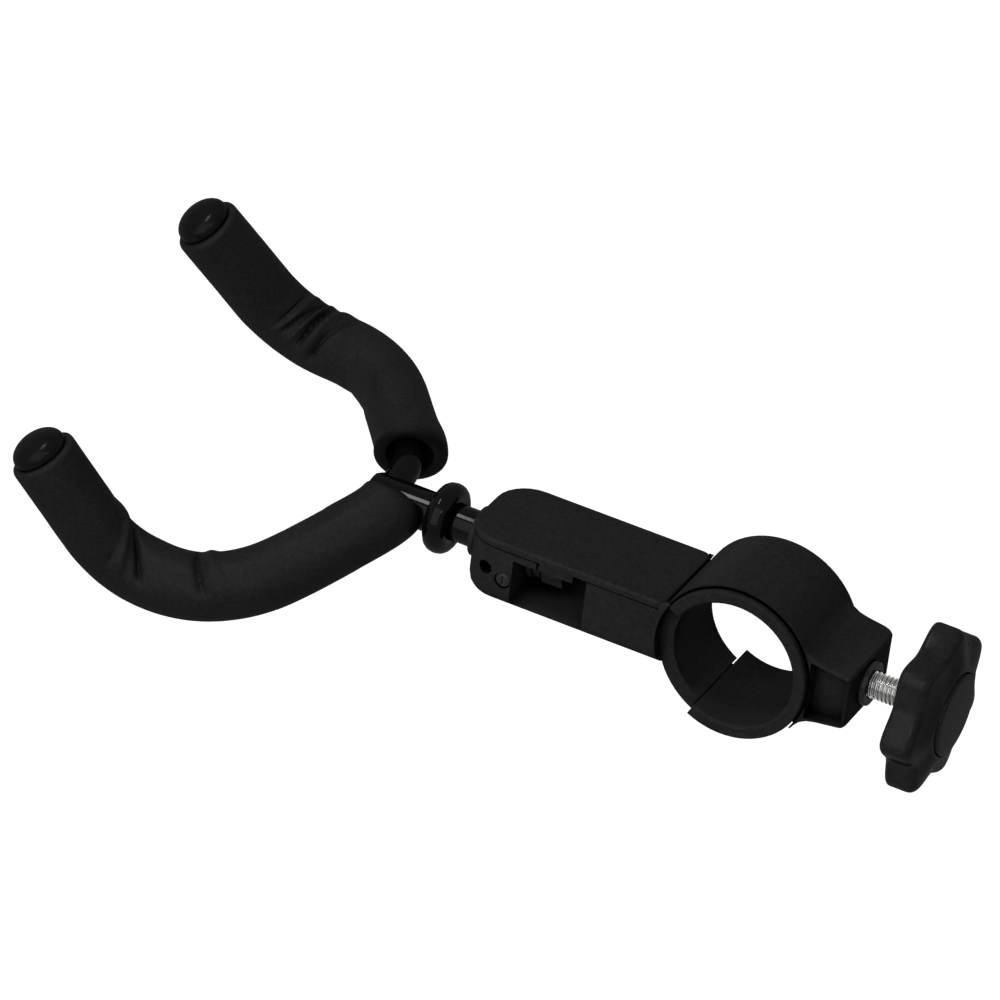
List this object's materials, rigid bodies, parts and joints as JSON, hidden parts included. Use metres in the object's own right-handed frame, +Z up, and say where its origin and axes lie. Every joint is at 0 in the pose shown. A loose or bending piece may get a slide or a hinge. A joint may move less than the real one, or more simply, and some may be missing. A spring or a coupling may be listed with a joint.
{
  "type": "guitar hanger",
  "caption": "Padded guitar yoke that swivels on a short cast arm, with a ring clamp and hand knob for a round tube.",
  "frame": {"origin": "centre of the clamp's bore, on its axis", "axes": "+X from the yoke to the clamp's knob, along the clamp screw and the swivel; +Y along the bore's axis, away from the lip; +Z up, out of the arm's cover"},
  "size_m": [0.2737, 0.1227, 0.0848],
  "materials": {
    "casting": "satin black powder coat with a fine grain",
    "gloss_black": "glossy black paint",
    "foam": "matt closed-cell foam",
    "end_cap": "smooth, slightly glossy",
    "knob": "black moulded plastic",
    "zinc": "bright zinc plate",
    "dark_steel": "black oxide",
    "brass": "turned",
    "nylon": "black nylon"
  },
  "bodies": {
    "arm": {"arm_body": "casting", "arm_cover": "casting", "cover_screw_front": "zinc", "cover_screw_rear_near": "zinc", "cover_screw_rear_far": "zinc", "clamp_collar": "casting", "clamp_jaw": "casting", "block_insert": "dark_steel", "front_bush": "nylon", "bush_grub_screw": "dark_steel", "bush_lock_screw": "zinc", "thrust_washer": "dark_steel"},
    "yoke": {"swivel_shaft": "gloss_black", "thrust_collar": "gloss_black", "spring_washer": "dark_steel", "shaft_nut": "dark_steel", "yoke_rod": "gloss_black", "foam_sleeve_near": "foam", "foam_sleeve_far": "foam", "end_cap_near": "end_cap", "end_cap_far": "end_cap"},
    "shoe": {"pressure_shoe": "nylon"},
    "knob": {"clamp_screw": "zinc", "knob_body": "knob", "knob_bush": "brass", "knob_cap": "knob"}
  },
  "joints": [
    {"name": "yoke_swivel", "type": "hinge", "parent": "arm", "child": "yoke", "pos_m": [-0.0865, 0, 0.0016], "axis": [1, 0, 0], "continuous": true},
    {"name": "clamp_travel", "type": "slide", "parent": "arm", "child": "shoe", "axis": [-1, 0, 0], "range_m": [0, 0.0055]},
    {"name": "knob_turn", "type": "hinge", "parent": "shoe", "child": "knob", "pos_m": [0.045, 0, 0], "axis": [-1, 0, 0], "range_deg": [0, 1584]}
  ],
  "couplings": [
    {"joint": "knob_turn", "follows": "clamp_travel", "rad_per_m": 5026.5}
  ]
}
